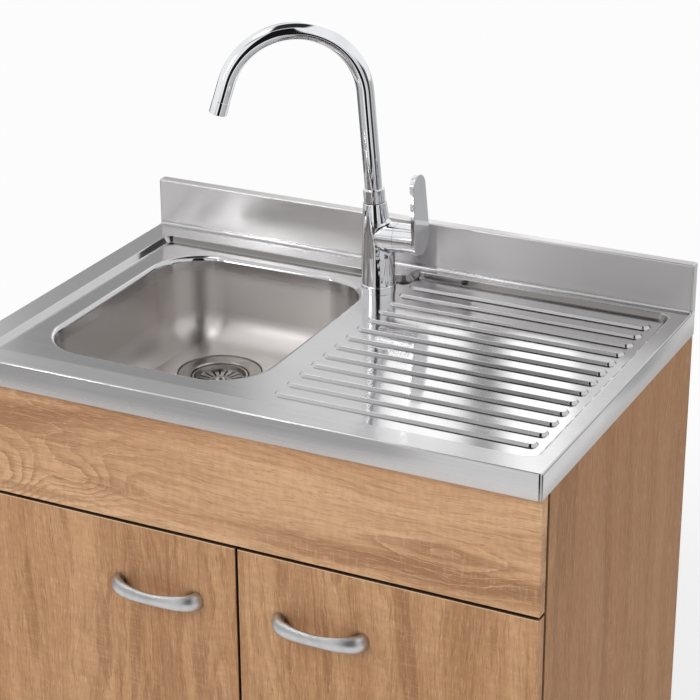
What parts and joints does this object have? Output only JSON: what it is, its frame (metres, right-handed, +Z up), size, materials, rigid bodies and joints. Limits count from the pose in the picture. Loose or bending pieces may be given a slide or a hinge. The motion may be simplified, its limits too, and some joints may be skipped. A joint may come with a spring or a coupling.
{
  "type": "kitchen sink unit",
  "caption": "Kitchen base unit with a pressed steel sink and drainer, a single-lever high-arc tap, a fixed front panel and hinged doors with bow handles.",
  "frame": {"origin": "on the floor, in the middle of the floor area the unit takes, handles included", "axes": "+X to the right seen from the front, +Y to the wall behind, +Z up; the doors face -Y"},
  "size_m": [0.9, 0.618, 1.265],
  "materials": {
    "steel": "brushed stainless sheet",
    "drain_steel": "satin stainless",
    "chrome": "bright chrome plate",
    "brass": "turned brass",
    "oak_front": "light oak decor, matt",
    "oak_side": "light oak decor, matt",
    "chipboard": "bare chipboard and white-faced board",
    "inner_board": "white faced board",
    "back_board": "thin white-faced fibreboard",
    "beech": "plain beech dowel",
    "satin_nickel": "satin nickel",
    "zinc": "zinc plated",
    "nickel": "nickel plated",
    "white_plastic": "moulded, white",
    "dark_plastic": "moulded, dark",
    "clear_buffer": "soft buffer",
    "rubber": "black rubber"
  },
  "bodies": {
    "cabinet": {"back_panel": "back_board", "back_rail": "inner_board", "bottom_panel": "inner_board", "cartridge": "white_plastic", "clamp_plate": "zinc", "clamp_rubber": "rubber", "cross_rail": "inner_board", "damping_pad": "rubber", "dowels": "beech", "fascia_panel": "oak_front", "fascia_screws": "zinc", "fascia_spacers": "dark_plastic", "floor_glides": "dark_plastic", "front_rail": "inner_board", "hinge_arms": "nickel", "hinge_plates": "nickel", "lock_ring": "brass", "outlet_pipe": "white_plastic", "plinth_board": "oak_front", "rim_core": "chipboard", "side_panel_left": "oak_side", "side_panel_right": "oak_side", "sink_clips": "zinc", "sink_top": "steel", "slip_nuts": "white_plastic", "small_screws": "zinc", "strainer_flange": "drain_steel", "stud_nut": "brass", "tap_base_ring": "chrome", "tap_body": "chrome", "tap_stud": "brass", "trap_cup": "white_plastic", "trap_head": "white_plastic", "trap_inlet_pipe": "white_plastic", "waste_body": "white_plastic", "waste_gasket": "rubber", "waste_screw": "zinc"},
    "door_left": {"door_left": "oak_front", "handle_left": "satin_nickel", "handle_screws_left": "zinc", "door_buffers_left": "clear_buffer", "hinge_cups_left": "nickel", "hinge_pins_left": "zinc", "cup_screws_left": "zinc"},
    "door_right": {"door_right": "oak_front", "handle_right": "satin_nickel", "handle_screws_right": "zinc", "door_buffers_right": "clear_buffer", "hinge_cups_right": "nickel", "hinge_pins_right": "zinc", "cup_screws_right": "zinc"},
    "spout": {"spout": "chrome", "spout_collar": "chrome", "aerator": "chrome"},
    "lever_hub": {"lever_hub": "chrome", "cartridge_stem": "brass", "lever_pin": "zinc"},
    "lever": {"lever_blade": "chrome"},
    "strainer_basket": {"strainer_basket": "drain_steel", "basket_seal": "rubber"}
  },
  "joints": [
    {"name": "door_left_hinge", "type": "hinge", "parent": "cabinet", "child": "door_left", "pos_m": [-0.4395, -0.2695, 0.3715], "axis": [0, 0, -1], "range_deg": [0, 95]},
    {"name": "door_right_hinge", "type": "hinge", "parent": "cabinet", "child": "door_right", "pos_m": [0.4395, -0.2695, 0.3715], "axis": [0, 0, 1], "range_deg": [0, 95]},
    {"name": "spout_swivel", "type": "hinge", "parent": "cabinet", "child": "spout", "pos_m": [-0.02, 0.213, 0.92], "axis": [-0.0651, -0.0431, 0.9969], "range_deg": [-30, 110]},
    {"name": "lever_temperature", "type": "hinge", "parent": "cabinet", "child": "lever_hub", "pos_m": [-0.02, 0.213, 0.932], "axis": [0.9938, -0.0869, 0.0698], "range_deg": [-45, 45]},
    {"name": "lever_flow", "type": "hinge", "parent": "lever_hub", "child": "lever", "pos_m": [0.04716, 0.20712, 0.92118], "axis": [0.0872, 0.9962, 0], "range_deg": [0, 22]},
    {"name": "basket_lift", "type": "slide", "parent": "cabinet", "child": "strainer_basket", "axis": [0, 0, 1], "range_m": [0, 0.12]}
  ]
}
